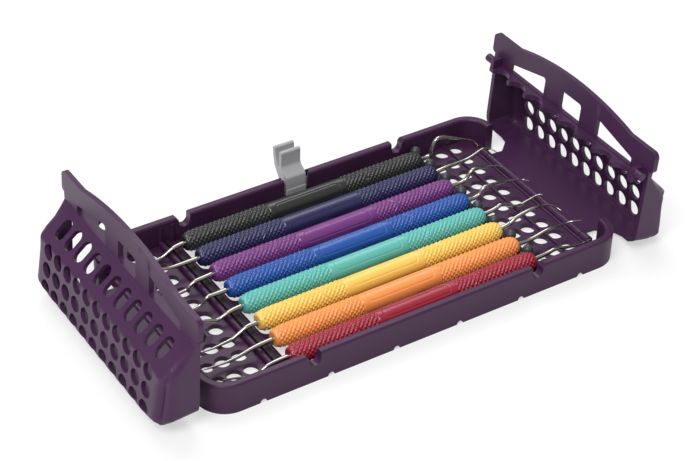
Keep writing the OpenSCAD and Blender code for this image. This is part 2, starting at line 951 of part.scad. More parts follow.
module handle_1() { handle(0); }
module handle_2() { handle(1); }
module handle_3() { handle(2); }
module handle_4() { handle(3); }
module handle_5() { handle(4); }
module handle_6() { handle(5); }
module handle_7() { handle(6); }
module handle_8() { handle(7); }
module left_tip_1() { tip(0, -1); }
module left_tip_2() { tip(1, -1); }
module left_tip_3() { tip(2, -1); }
module left_tip_4() { tip(3, -1); }
module left_tip_5() { tip(4, -1); }
module left_tip_6() { tip(5, -1); }
module left_tip_7() { tip(6, -1); }
module left_tip_8() { tip(7, -1); }
module right_tip_1() { tip(0, 1); }
module right_tip_2() { tip(1, 1); }
module right_tip_3() { tip(2, 1); }
module right_tip_4() { tip(3, 1); }
module right_tip_5() { tip(4, 1); }
module right_tip_6() { tip(5, 1); }
module right_tip_7() { tip(6, 1); }
module right_tip_8() { tip(7, 1); }

tray();
left_hinge_pin();
right_hinge_pin();
left_rail();
right_rail();
left_lid();
left_comb();
right_lid();
right_comb();
clip();
handle_1();
handle_2();
handle_3();
handle_4();
handle_5();
handle_6();
handle_7();
handle_8();
left_tip_1();
left_tip_2();
left_tip_3();
left_tip_4();
left_tip_5();
left_tip_6();
left_tip_7();
left_tip_8();
right_tip_1();
right_tip_2();
right_tip_3();
right_tip_4();
right_tip_5();
right_tip_6();
right_tip_7();
right_tip_8();
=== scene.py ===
"""Looks of a dental instrument cassette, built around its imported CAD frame.

The tray, lids, combs and clip are copies of the CAD solids with softened edges, and the
lids get ball-like corners.  Handles, steel working ends and silicone rails are modelled
here at the CAD solids' places, and the hinge pins stay as they are.  Lengths are
millimetres until mm() or a matrix turns them to metres.
"""

import logging
import math
from collections.abc import Callable, Mapping, Sequence
from dataclasses import dataclass, field
from enum import Enum

import bmesh
import bpy
from mathutils import Matrix, Vector


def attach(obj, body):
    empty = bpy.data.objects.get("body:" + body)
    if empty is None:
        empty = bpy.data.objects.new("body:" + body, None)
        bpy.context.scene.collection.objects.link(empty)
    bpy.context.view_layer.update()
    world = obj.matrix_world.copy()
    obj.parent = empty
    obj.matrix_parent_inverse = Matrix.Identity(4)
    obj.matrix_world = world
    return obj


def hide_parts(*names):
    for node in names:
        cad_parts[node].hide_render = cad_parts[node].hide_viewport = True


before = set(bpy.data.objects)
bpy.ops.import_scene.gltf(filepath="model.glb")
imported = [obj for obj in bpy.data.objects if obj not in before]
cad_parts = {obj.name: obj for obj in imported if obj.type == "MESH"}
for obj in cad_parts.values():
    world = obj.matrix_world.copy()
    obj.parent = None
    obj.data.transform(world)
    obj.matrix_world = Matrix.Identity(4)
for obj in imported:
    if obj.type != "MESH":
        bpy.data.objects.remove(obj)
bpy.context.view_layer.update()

LOG = logging.getLogger("cassette")
Colour = tuple[float, float, float]
Point = tuple[float, float, float]
MILLIMETRE = 0.001
TO_METRES = Matrix.Scale(MILLIMETRE, 4)
TO_MILLIMETRES = Matrix.Scale(1 / MILLIMETRE, 4)
PLACE_PITCH = 11.77
FINE_DETAIL = 3.0
CLOUD_DETAIL = 4.0
CLOUD_SCALE = 45.0


def mm(*values: float) -> Vector | float:
    """Turns millimetres into metres.

    Args:
        values: one length, or the coordinates of a point.

    Returns:
        A float for one value, else a Vector.
    """
    if len(values) == 1:
        return values[0] * MILLIMETRE
    return Vector(values) * MILLIMETRE


def clamped(value: float) -> float:
    """Holds a value between 0 and 1.

    Args:
        value: any number.

    Returns:
        The number, or the nearer of 0 and 1.
    """
    return min(1.0, max(0.0, value))


class Side(Enum):
    """An end of the cassette."""

    LEFT = -1
    RIGHT = 1

    @property
    def word(self) -> str:
        """Name of the end.

        Returns:
            The word that the CAD nodes' names use.
        """
        return self.name.lower()


def set_inputs(node: bpy.types.Node, values: Mapping[str, float | tuple[float, ...]]) -> None:
    """Sets constants on a node's own sockets.

    Args:
        node: the node.
        values: constant for each socket's name.
    """
    for name, value in values.items():
        node.inputs[name].default_value = value


def arithmetic(
    tree: bpy.types.NodeTree,
    operation: str,
    first: bpy.types.NodeSocket,
    second: bpy.types.NodeSocket | float,
) -> bpy.types.NodeSocket:
    """Adds a node that does one sum.

    Args:
        tree: node tree that takes it.
        operation: Blender's word for the sum.
        first: socket of the first value.
        second: socket of the second value, or a constant.

    Returns:
        The socket of the result.
    """
    node = tree.nodes.new("ShaderNodeMath")
    node.operation = operation
    tree.links.new(first, node.inputs[0])
    if isinstance(second, bpy.types.NodeSocket):
        tree.links.new(second, node.inputs[1])
    else:
        node.inputs[1].default_value = second
    return node.outputs[0]


@dataclass(frozen=True)
class Finish:
    """A surface finish; its name also names its material."""

    name: str
    colour: Colour
    roughness: float
    metallic: float = 0.0
    specular: float = 0.5
    grain: float = 0.0
    tone: float = 0.0
    grain_scale: float = 900.0
    grain_depth: float = 0.05

    def material(self) -> bpy.types.Material:
        """Builds the material once and hands out the same one after that.

        Returns:
            The Blender material of this finish.
        """
        title = f"{self.name}_look"
        made = bpy.data.materials.get(title)
        if made is not None:
            return made
        made = bpy.data.materials.new(title)
        made.use_nodes = True
        tree = made.node_tree
        shader = tree.nodes["Principled BSDF"]
        set_inputs(shader, {
            "Base Color": (*self.colour, 1.0),
            "Roughness": self.roughness,
            "Metallic": self.metallic,
            "Specular IOR Level": self.specular,
        })
        if self.grain > 0 or self.tone > 0:
            self.add_grain(tree, shader)
        return made

    def add_grain(self, tree: bpy.types.NodeTree, shader: bpy.types.Node) -> None:
        """Adds grain, cloudy tone and a fine bump to the material.

        Args:
            tree: the material's node tree.
            shader: its shader node.
        """
        grain = tree.nodes.new("ShaderNodeGroup")
        grain.node_tree = moulded_grain()
        set_inputs(grain, {
            "Scale": self.grain_scale,
            "Colour": (*self.colour, 1.0),
            "Tone": self.tone,
            "Roughness": self.roughness,
        })
        bump = tree.nodes.new("ShaderNodeBump")
        set_inputs(bump, {"Strength": self.grain, "Distance": mm(self.grain_depth)})
        where = tree.nodes.new("ShaderNodeTexCoord")
        for start, end in (
            (where.outputs["Object"], grain.inputs["Place"]),
            (grain.outputs["Colour"], shader.inputs["Base Color"]),
            (grain.outputs["Roughness"], shader.inputs["Roughness"]),
            (grain.outputs["Height"], bump.inputs["Height"]),
            (bump.outputs["Normal"], shader.inputs["Normal"]),
        ):
            tree.links.new(start, end)


def moulded_grain() -> bpy.types.NodeTree:
    """Node group for moulded surfaces: fine grain, cloudy tone and cloudy gloss.

    Returns:
        The group, with inputs Place, Scale, Tone, Roughness and Colour and outputs
        Colour, Roughness and Height.
    """
    made = bpy.data.node_groups.get("moulded_grain")
    if made is not None:
        return made
    made = bpy.data.node_groups.new("moulded_grain", "ShaderNodeTree")
    kinds = {"Place": "Vector", "Colour": "Color"}
    for way, names in (
        ("INPUT", ("Place", "Scale", "Tone", "Roughness", "Colour")),
        ("OUTPUT", ("Colour", "Roughness", "Height")),
    ):
        for name in names:
            kind = kinds.get(name, "Float")
            made.interface.new_socket(name, in_out=way, socket_type=f"NodeSocket{kind}")
    nodes, links = made.nodes, made.links
    given, results = nodes.new("NodeGroupInput").outputs, nodes.new("NodeGroupOutput").inputs

    fine = nodes.new("ShaderNodeTexNoise")
    set_inputs(fine, {"Detail": FINE_DETAIL})
    links.new(given["Place"], fine.inputs["Vector"])
    links.new(given["Scale"], fine.inputs["Scale"])
    links.new(fine.outputs["Fac"], results["Height"])

    cloud = nodes.new("ShaderNodeTexNoise")
    set_inputs(cloud, {"Scale": CLOUD_SCALE, "Detail": CLOUD_DETAIL})
    links.new(given["Place"], cloud.inputs["Vector"])
    centred = arithmetic(made, "SUBTRACT", cloud.outputs["Fac"], 0.5)
    toned = arithmetic(made, "MULTIPLY", centred, given["Tone"])
    lifted = arithmetic(made, "ADD", toned, 1.0)
    glossed = arithmetic(made, "MULTIPLY", given["Roughness"], lifted)
    links.new(glossed, results["Roughness"])
    tinted = nodes.new("ShaderNodeVectorMath")
    tinted.operation = "SCALE"
    links.new(given["Colour"], tinted.inputs[0])
    links.new(lifted, tinted.inputs["Scale"])
    links.new(tinted.outputs[0], results["Colour"])
    return made


TRAY_RESIN = Finish("tray_resin", (0.050, 0.016, 0.052), 0.37, specular=0.26, grain=0.12, tone=0.12)
LID_RESIN = Finish("lid_resin", (0.054, 0.018, 0.060), 0.37, specular=0.26, grain=0.12, tone=0.12)
CLIP_RESIN = Finish("clip_resin", (0.36, 0.36, 0.37), 0.38, grain=0.08, tone=0.05)
STRIP = Finish("silicone_strip", (0.016, 0.009, 0.014), 0.62, specular=0.3, grain=0.1, tone=0.1)
FINGERS = Finish("silicone_fingers", (0.036, 0.040, 0.048), 0.4, grain=0.1, tone=0.1)
PIN_STEEL = Finish("pin_steel", (0.55, 0.54, 0.53), 0.3, metallic=1.0)
STEEL = Finish("instrument_steel", (0.44, 0.415, 0.38), 0.2, metallic=1.0)


def handle_finish(number: int, colour: Colour) -> Finish:
    """Finish of one handle.

    Args:
        number: place of the handle, counted from the clip's side.
        colour: linear colour of its resin.

    Returns:
        The glossy resin finish.
    """
    return Finish(f"handle_{number}_resin", colour, 0.27, grain=0.04, tone=0.06)


def smooth_faces(bm: bmesh.types.BMesh, sharp: float) -> None:
    """Shades a mesh smooth, apart from its sharp edges.

    Args:
        bm: the mesh.
        sharp: least angle of an edge that stays sharp, in degrees.
    """
    for part in bm.faces:
        part.smooth = True
    for edge in bm.edges:
        edge.smooth = edge.is_manifold and edge.calc_face_angle(0.0) < math.radians(sharp)


def make_piece(
    name: str, bm: bmesh.types.BMesh, finish: Finish, body: str, node: str
) -> bpy.types.Object:
    """Turns a finished bmesh into a piece of the object.

    Args:
        name: name of the piece.
        bm: its mesh, in metres, in its place; freed here.
        finish: its finish.
        body: the CAD body that it moves with.
        node: the CAD node that it stands for.

    Returns:
        The new object.
    """
    mesh = bpy.data.meshes.new(name)
    bm.to_mesh(mesh)
    bm.free()
    piece = bpy.data.objects.new(name, mesh)
    bpy.context.scene.collection.objects.link(piece)
    mesh.materials.append(finish.material())
    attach(piece, body)
    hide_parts(node)
    LOG.info("%s: %d faces", name, len(mesh.polygons))
    return piece


@dataclass
class DressedSolid:
    """A copy of a CAD solid with softened edges, reshaped first where a form is given."""

    node: str
    body: str
    finish: Finish
    soften: float = 0.35
    segments: int = 2
    sharp: float = 34.0
    form: Callable[[bmesh.types.BMesh], None] | None = None
    merge_gap: float = 0.002
    flat_angle: float = 1.0

    def mesh(self) -> bmesh.types.BMesh:
        """Merges the CAD node's loose triangles and bevels its outer edges.

        Returns:
            The softened mesh, in metres.
        """
        bm = bmesh.new()
        bm.from_mesh(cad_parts[self.node].data)
        bmesh.ops.remove_doubles(bm, verts=bm.verts, dist=mm(self.merge_gap))
        if self.form is not None:
            self.form(bm)
        bmesh.ops.dissolve_limit(
            bm, angle_limit=math.radians(self.flat_angle), verts=bm.verts, edges=bm.edges,
            use_dissolve_boundaries=False,
        )
        limit = math.radians(self.sharp)
        edges = [
            e for e in bm.edges if e.is_manifold and e.calc_face_angle(0.0) > limit and e.is_convex
        ]
        bmesh.ops.bevel(
            bm, geom=edges, offset=mm(self.soften), offset_type="OFFSET", segments=self.segments,
            profile=0.5, affect="EDGES", clamp_overlap=True, material=-1,
        )
        smooth_faces(bm, self.sharp)
        return bm

    def build(self) -> bpy.types.Object:
        """Builds the piece.

        Returns:
            The dressed copy, which stands for the CAD node.
        """
        piece = make_piece(f"{self.node}_dressed", self.mesh(), self.finish, self.body, self.node)
        even = piece.modifiers.new("even_normals", "WEIGHTED_NORMAL")
        even.keep_sharp = True
        return piece


@dataclass
class HingePin:
    """Steel pin of a lid hinge; the CAD rod is already its real shape."""

    side: Side

    def build(self) -> None:
        """Gives the CAD pin its material."""
        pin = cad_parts[f"{self.side.word}_hinge_pin"]
        pin.data.materials.clear()
        pin.data.materials.append(PIN_STEEL.material())


@dataclass
class Rail:
    """Silicone strip across the tray; the right one carries soft fingers."""

    side: Side
    fingers: bool
    x: float = 60.7
    width: float = 2.6
    half: float = 48.9
    low: float = 2.5
    top: float = 4.4
    edge: float = 0.3
    count: int = 9
    finger_r: float = 2.3
    finger_top: float = 9.7
    head_share: float = 0.62
    head_steps: int = 9
    turn_steps: int = 24
    foot_sink: float = 0.5
    foot_rise: float = 0.1
    last_y: float = 46.58
    merge_gap: float = 0.001
    sharp: float = 40.0

    def strip(self, bm: bmesh.types.BMesh) -> None:
        """Adds the strip.

        Args:
            bm: mesh that takes it, in millimetres.
        """
        made = bmesh.ops.create_cube(bm, size=1.0)
        size = Vector((self.width, 2 * self.half, self.top - self.low))
        bmesh.ops.scale(bm, verts=made["verts"], vec=size)
        middle = Vector((self.side.value * self.x, 0, (self.low + self.top) / 2))
        bmesh.ops.translate(bm, verts=made["verts"], vec=middle)
        edges = {e for v in made["verts"] for e in v.link_edges}
        bmesh.ops.bevel(
            bm, geom=list(edges), offset=self.edge, offset_type="OFFSET", segments=2, profile=0.5,
            affect="EDGES", material=-1,
        )

    def finger(self, bm: bmesh.types.BMesh, y: float) -> None:
        """Adds one finger: a round head on a narrower neck.

        Args:
            bm: mesh that takes it, in millimetres.
            y: its place across the tray.
        """
        quarter = math.pi / 2
        middle = self.finger_top - self.finger_r
        start = -self.head_share * quarter
        turns = [start + (quarter - start) * k / self.head_steps for k in range(self.head_steps)]
        foot = self.top - self.foot_sink
        outline = [(0, foot), (self.width / 2, foot), (self.width / 2, self.top + self.foot_rise)]
        outline += [
            (self.finger_r * math.cos(t), middle + self.finger_r * math.sin(t)) for t in turns
        ]
        outline.append((0, self.finger_top))
        chain = [bm.verts.new((r, 0, z)) for r, z in outline]
        edges = [bm.edges.new(pair) for pair in zip(chain, chain[1:])]
        bmesh.ops.spin(
            bm, geom=[*chain, *edges], cent=(0, 0, 0), axis=(0, 0, 1), angle=2 * math.pi,
            steps=self.turn_steps, use_merge=True, use_duplicate=False,
        )
        bmesh.ops.translate(bm, verts=bm.verts, vec=(self.side.value * self.x, y, 0))

    def build(self) -> bpy.types.Object:
        """Builds the rail.

        Returns:
            The rail piece.
        """
        whole = bmesh.new()
        if self.fingers:
            for k in range(self.count):
                part = bmesh.new()
                y = PLACE_PITCH * ((self.count - 1) / 2 - k)
                self.finger(part, max(-self.last_y, min(self.last_y, y)))
                bmesh.ops.remove_doubles(part, verts=part.verts, dist=self.merge_gap)
                bmesh.ops.recalc_face_normals(part, faces=part.faces)
                add_mesh(whole, part)
        self.strip(whole)
        whole.transform(TO_METRES)
        smooth_faces(whole, self.sharp)
        finish = FINGERS if self.fingers else STRIP
        name = f"{self.side.word}_rail"
        return make_piece(f"{name}_silicone", whole, finish, "tray_body", name)


def add_mesh(whole: bmesh.types.BMesh, part: bmesh.types.BMesh) -> None:
    """Adds one bmesh to another and frees it.

    Args:
        whole: the mesh that grows.
        part: the mesh that is added.
    """
    carrier = bpy.data.meshes.new("carrier")
    part.to_mesh(carrier)
    part.free()
    whole.from_mesh(carrier)
    bpy.data.meshes.remove(carrier)


@dataclass
class Handle:
    """Turned resin handle with two knurled thirds and a smooth middle.

    Its own coordinates run along X from the middle, with turns round X in radians.
    """

    label_turn: float
    length: float = 116.5
    core_r: float = 3.98
    end_r: float = 3.35
    mid_r: float = 4.33
    mid_length: float = 37.0
    taper: float = 6.5
    end_round: float = 0.8
    bump: float = 0.62
    bump_start: float = 0.2
    bump_fade: float = 0.4
    plain_end: float = 0.7
    end_fade: float = 1.5
    pitch: float = 2.12
    around: int = 13
    rings: int = 520
    sides: int = 130
    gather_length: float = 1.2
    gather_power: float = 1.6
    label_length: float = 31.0
    label_width: float = 5.2
    label_corner: float = 1.6
    label_sink: float = 0.06
    outline_depth: float = 0.22
    outline_width: float = 0.22
    outline_reach: float = 0.45
    chevron_x: float = 30.0
    chevron_half: float = 3.4
    chevron_slope: float = 0.9
    chevron_clear: float = 0.9
    chevron_width: float = 0.38
    chevron_height: float = 0.75
    sharp: float = 60.0

    def base_radius(self, x: float) -> float:
        """Radius of the handle without its bumps.

        Args:
            x: distance from the handle's middle.

        Returns:
            The radius in millimetres.
        """
        end = self.length / 2 - abs(x)
        if abs(x) < self.mid_length / 2:
            return self.mid_r
        share = math.sin(math.pi / 2 * min(1.0, end / self.taper))
        radius = self.end_r + (self.core_r - self.end_r) * share
        if end < self.end_round:
            rise = self.end_round**2 - (self.end_round - end) ** 2
            radius -= self.end_round - math.sqrt(max(0.0, rise))
        return radius

    def from_label(self, turn: float) -> float:
        """Turn between a point and the middle line of the label field.

        Args:
            turn: angle round the handle.

        Returns:
            The angle between them, in radians.
        """
        return abs((turn - self.label_turn + math.pi) % (2 * math.pi) - math.pi)

    def label_depth(self, x: float, turn: float) -> float:
        """Depth of the flat label field in the smooth middle, with its fine outline.

        Args:
            x: distance from the handle's middle.
            turn: angle round the handle, in radians.

        Returns:
            The depth under the smooth surface in millimetres.
        """
        across = self.from_label(turn) * self.mid_r
        past_x = max(0.0, abs(x) - (self.label_length / 2 - self.label_corner))
        past_side = max(0.0, across - (self.label_width / 2 - self.label_corner))
        rim = math.hypot(past_x, past_side) - self.label_corner
        if rim > self.outline_reach:
            return 0.0
        outline = self.outline_depth * math.exp(-((rim / self.outline_width) ** 2))
        return outline + (self.label_sink if rim < 0 else 0.0)

    def bump_height(self, x: float, turn: float) -> float:
        """Height of the knurling: staggered blunt cones, crossed by two chevrons.

        Args:
            x: distance from the handle's middle.
            turn: angle round the handle, in radians.

        Returns:
            The height over the core in millimetres.
        """
        end = self.length / 2 - abs(x)
        start = abs(x) - self.mid_length / 2 - self.bump_start
        rise = clamped((end - self.plain_end) / self.end_fade) * clamped(start / self.bump_fade)
        if rise <= 0:
            return 0.0
        wave = math.cos(2 * math.pi * x / self.pitch) * math.cos(self.around * turn)
        height = (0.5 + 0.5 * wave) ** 2
        across = self.from_label(turn) * self.core_r
        if across < self.chevron_half:
            line = abs(abs(x) - self.chevron_x + self.chevron_slope * across)
            ridge = self.chevron_height * math.exp(-((line / self.chevron_width) ** 2))
            height = max(height * min(1.0, line / self.chevron_clear), ridge)
        return self.bump * rise * height

    def mesh(self) -> bmesh.types.BMesh:
        """Builds the handle along X about the origin.

        Returns:
            The closed mesh, in millimetres.
        """
        bm = bmesh.new()
        bmesh.ops.create_cone(
            bm, cap_ends=True, segments=self.sides, radius1=1.0, radius2=1.0, depth=1.0,
            matrix=Matrix.Rotation(math.pi / 2, 4, "Y"),
        )
        long_edges = [e for e in bm.edges if abs(e.verts[0].co.x - e.verts[1].co.x) > 0.5]
        bmesh.ops.subdivide_edges(bm, edges=long_edges, cuts=self.rings, use_grid_fill=True)
        half = self.length / 2
        for v in bm.verts:
            x = 2 * half * v.co.x
            turn = math.atan2(v.co.z, v.co.y)
            end = half - abs(x)
            if end < self.gather_length:
                share = max(0.0, end) / self.gather_length
                x = math.copysign(half - self.gather_length * share**self.gather_power, x)
            radius = self.base_radius(x) + self.bump_height(x, turn) - self.label_depth(x, turn)
            v.co = Vector((x, radius * math.cos(turn), radius * math.sin(turn)))
        return bm


def sweep(path: Sequence[Vector], radii: Sequence[float], sides: int = 14) -> bmesh.types.BMesh:
    """Draws a round rod along a path.

    Args:
        path: points of the centre line.
        radii: radius at each point.
        sides: corners of the section.

    Returns:
        The closed mesh.
    """
    bm = bmesh.new()
    heading = (path[1] - path[0]).normalized()
    turn = Vector((0, 0, 1)).rotation_difference(heading).to_matrix().to_4x4()
    made = bmesh.ops.create_circle(
        bm, cap_ends=True, segments=sides, radius=1.0, matrix=Matrix.Translation(path[0]) @ turn
    )
    verts = made["verts"]
    bmesh.ops.scale(bm, verts=verts, vec=[radii[0]] * 3, space=Matrix.Translation(-path[0]))
    face = bm.faces[:][0]
    if face.normal.dot(heading) > 0:
        face.normal_flip()
    edges = list(face.edges)
    for k in range(1, len(path)):
        grown = bmesh.ops.extrude_edge_only(bm, edges=edges)["geom"]
        verts = [g for g in grown if isinstance(g, bmesh.types.BMVert)]
        edges = [g for g in grown if isinstance(g, bmesh.types.BMEdge)]
        bmesh.ops.translate(bm, verts=verts, vec=path[k] - path[k - 1])
        onward = (path[min(k + 1, len(path) - 1)] - path[k - 1]).normalized()
        about = Matrix.Translation(-path[k])
        spin = heading.rotation_difference(onward).to_matrix().to_4x4()
        bmesh.ops.transform(bm, matrix=spin, space=about, verts=verts)
        bmesh.ops.scale(bm, verts=verts, vec=[radii[k] / radii[k - 1]] * 3, space=about)
        heading = onward
    bmesh.ops.contextual_create(bm, geom=edges)
    bmesh.ops.recalc_face_normals(bm, faces=bm.faces)
    return bm


def rounded(
    points: Sequence[Vector], reach: float, parts: int = 6, most: float = 0.48
) -> list[Vector]:
    """Rounds the corners of a line of points.

    Args:
        points: corners of the line.
        reach: distance from a corner at which its curve starts.
        parts: pieces of each curve.
        most: largest share of a stretch that one curve takes.

    Returns:
        Points of the rounded line.
    """
    out = [points[0]]
    for a, p, b in zip(points, points[1:], points[2:]):
        near = p + (a - p) * min(most, reach / (a - p).length)
        far = p + (b - p) * min(most, reach / (b - p).length)
        for k in range(parts + 1):
            t = k / parts
            out.append(near * (1 - t) ** 2 + p * (2 * t * (1 - t)) + far * t**2)
    out.append(points[-1])
    return out


RIGHT_BENDS: list[list[Point]] = [
    [(5.3, 0, -0.5), (6.6, 0, 4), (8, 0, 7.2), (10.5, 0, 8.2), (18.2, 0, 5), (26.5, 0, 1.5),
     (29.8, 0, -0.9), (30.4, -2, -2.3)],
    [(5.7, 0, 0.9), (12.6, 0, 0.8), (18.4, 0, 1.1), (24.6, 0, 3.7), (27.2, 0, 3.6),
     (30.1, 0, 2.1), (30.4, -4, 2.5)],
    [(5.2, 0, -0.1), (8.3, 0, 0.7), (10.6, 0, 4.6), (13.2, 0, 4.9), (23.5, 0, 2.9),
     (27.4, 0, 0.4), (29.8, -1.5, -2.4)],
    [(6.2, 0, -0.2), (8.5, 0, 3.6), (10.6, 0, 3.9), (18, 0, 3.1), (25.5, 0, 1.7), (29.9, 0, 0.2),
     (30.4, -3.2, 1.4)],
    [(6.7, 0, 0.6), (9.1, 0, 2.2), (12.9, 0, 0.7), (18.7, 0, -2.7), (24.6, 0, -1.1),
     (29.9, 0, -0.2), (30.4, -2, 0.3)],
    [(5.1, 0, 0.7), (8, 0, 2.9), (14, 0, 4.3), (20.2, 0, 4.6), (25.1, 0, 3.5), (29.4, 0, 0.9),
     (30.4, -2.8, 0.3)],
    [(8.3, 0, -0.6), (16.3, 0, 1.7), (22.1, 0, 1.1), (28.4, 0, 1), (30.4, -4.3, 3.6)],
    [(8.1, 0, 0.4), (11.1, 0, 1.3), (17, 0, -0.4), (23.9, 0, -1.9), (27.5, 0, -1.5),
     (30.1, 0, -1.2)],
]
LEFT_BENDS: list[list[Point]] = [
    [(3.2, 0, -0.2), (6, 0, -0.9), (8.8, 0, -2.7), (12, 0, -3.9), (19, 0, -3.5), (25, 0, -2.2)],
    [(6.4, 0, 0), (13.2, 0, 0.2), (17.5, 0, 1.4), (22, 0, 1.2), (26, 0, -1.5)],
    [(3.7, 0, -0.3), (7.8, 0, -0.4), (10.5, 0, -1.8), (12.8, 0, -3.7), (19, 0, -3.6),
     (26, 0, -2.2)],
    [(5.2, 0, -0.1), (8.4, 0, 0.2), (10.2, 0, -0.9), (12.5, 0, -3.2), (18, 0, -3.7),
     (26, 0, -2.5)],
    [(5, 0, -0.4), (8.1, 0, -1.4), (11.3, 0, -2.8), (15.2, 0, -0.9), (20, 0, 0.4), (26, 0, -1.4)],
    [(4.9, 0, -0.2), (8.5, 0, -2.2), (11.6, 0, -3.8), (14.7, 0, -4), (20.4, -0.6, -4.1),
     (25.8, 0, -4)],
    [(8, 0, -0.3), (16, 0, -2.3), (23, 0, -2.5), (30.3, 0, -1.8)],
    [(5.1, 0, 0), (9.9, 0, -0.6), (12.1, 0, -1.9), (13.9, 0, -2.6), (18.7, 0, -2.2),
     (23, 0, -0.5), (29, 0, 1.2)],
]
HANDLE_COLOURS: list[Colour] = [
    (0.024, 0.025, 0.024),
    (0.020, 0.019, 0.080),
    (0.160, 0.034, 0.185),
    (0.018, 0.080, 0.340),
    (0.105, 0.430, 0.390),
    (0.820, 0.540, 0.110),
    (0.840, 0.290, 0.075),
    (0.300, 0.014, 0.034),
]
LABEL_TURNS = (140, 165, 125, 116, 112, 106, 104, 100)


@dataclass
class Instrument:
    """Double-ended hand instrument lying across the rails."""

    number: int
    middle_x: float = 0.45
    axis_z: float = 7.1
    lie_right: float = -0.3
    lie_left: float = -1.0
    shank_r: float = 1.1
    point_r: float = 0.3
    taper_power: float = 1.15
    bend_reach: float = 5.0
    tang: float = 7.0
    sharp: float = 50.0
    handle: Handle = field(init=False)

    def __post_init__(self) -> None:
        """Makes the handle's sizes."""
        self.handle = Handle(math.radians(LABEL_TURNS[self.number - 1]))

    def to_world(self, bm: bmesh.types.BMesh) -> None:
        """Puts a mesh in its place and turns it to metres.

        Args:
            bm: mesh about the instrument's middle, in millimetres.
        """
        row = PLACE_PITCH * ((len(HANDLE_COLOURS) + 1) / 2 - self.number)
        yaw = math.atan((self.lie_right - self.lie_left) / self.handle.length)
        at = Vector((self.middle_x, row + (self.lie_right + self.lie_left) / 2, self.axis_z))
        bm.transform(TO_METRES @ Matrix.Translation(at) @ Matrix.Rotation(yaw, 4, "Z"))

    def working_end(self, side: Side) -> bmesh.types.BMesh:
        """Builds one bent steel end.

        Args:
            side: the end of the instrument.

        Returns:
            The shank with its tang, in millimetres.
        """
        bends = (LEFT_BENDS if side is Side.LEFT else RIGHT_BENDS)[self.number - 1]
        stops = [Vector((-self.tang, 0, 0)), Vector((0, 0, 0)), *[Vector(p) for p in bends]]
        path = rounded(stops, self.bend_reach)
        lengths = [0.0]
        for a, b in zip(path, path[1:]):
            lengths.append(lengths[-1] + (b - a).length)
        free = lengths[-1] - self.tang
        shares = [max(0.0, (at - self.tang) / free) ** self.taper_power for at in lengths]
        bm = sweep(path, [self.shank_r + (self.point_r - self.shank_r) * share for share in shares])
        bm.transform(Matrix.Translation((self.handle.length / 2, 0, 0)))
        if side is Side.LEFT:
            bmesh.ops.scale(bm, verts=bm.verts, vec=(-1, 1, 1))
            bmesh.ops.recalc_face_normals(bm, faces=bm.faces)
        return bm

    def build(self) -> None:
        """Builds the handle and both working ends."""
        body = f"instrument_{self.number}"
        bm = self.handle.mesh()
        self.to_world(bm)
        smooth_faces(bm, self.handle.sharp)
        finish = handle_finish(self.number, HANDLE_COLOURS[self.number - 1])
        make_piece(f"handle_{self.number}_knurled", bm, finish, body, f"handle_{self.number}")
        for side in Side:
            bm = self.working_end(side)
            self.to_world(bm)
            smooth_faces(bm, self.sharp)
            name = f"{side.word}_tip_{self.number}"
            make_piece(f"{name}_polished", bm, STEEL, body, name)


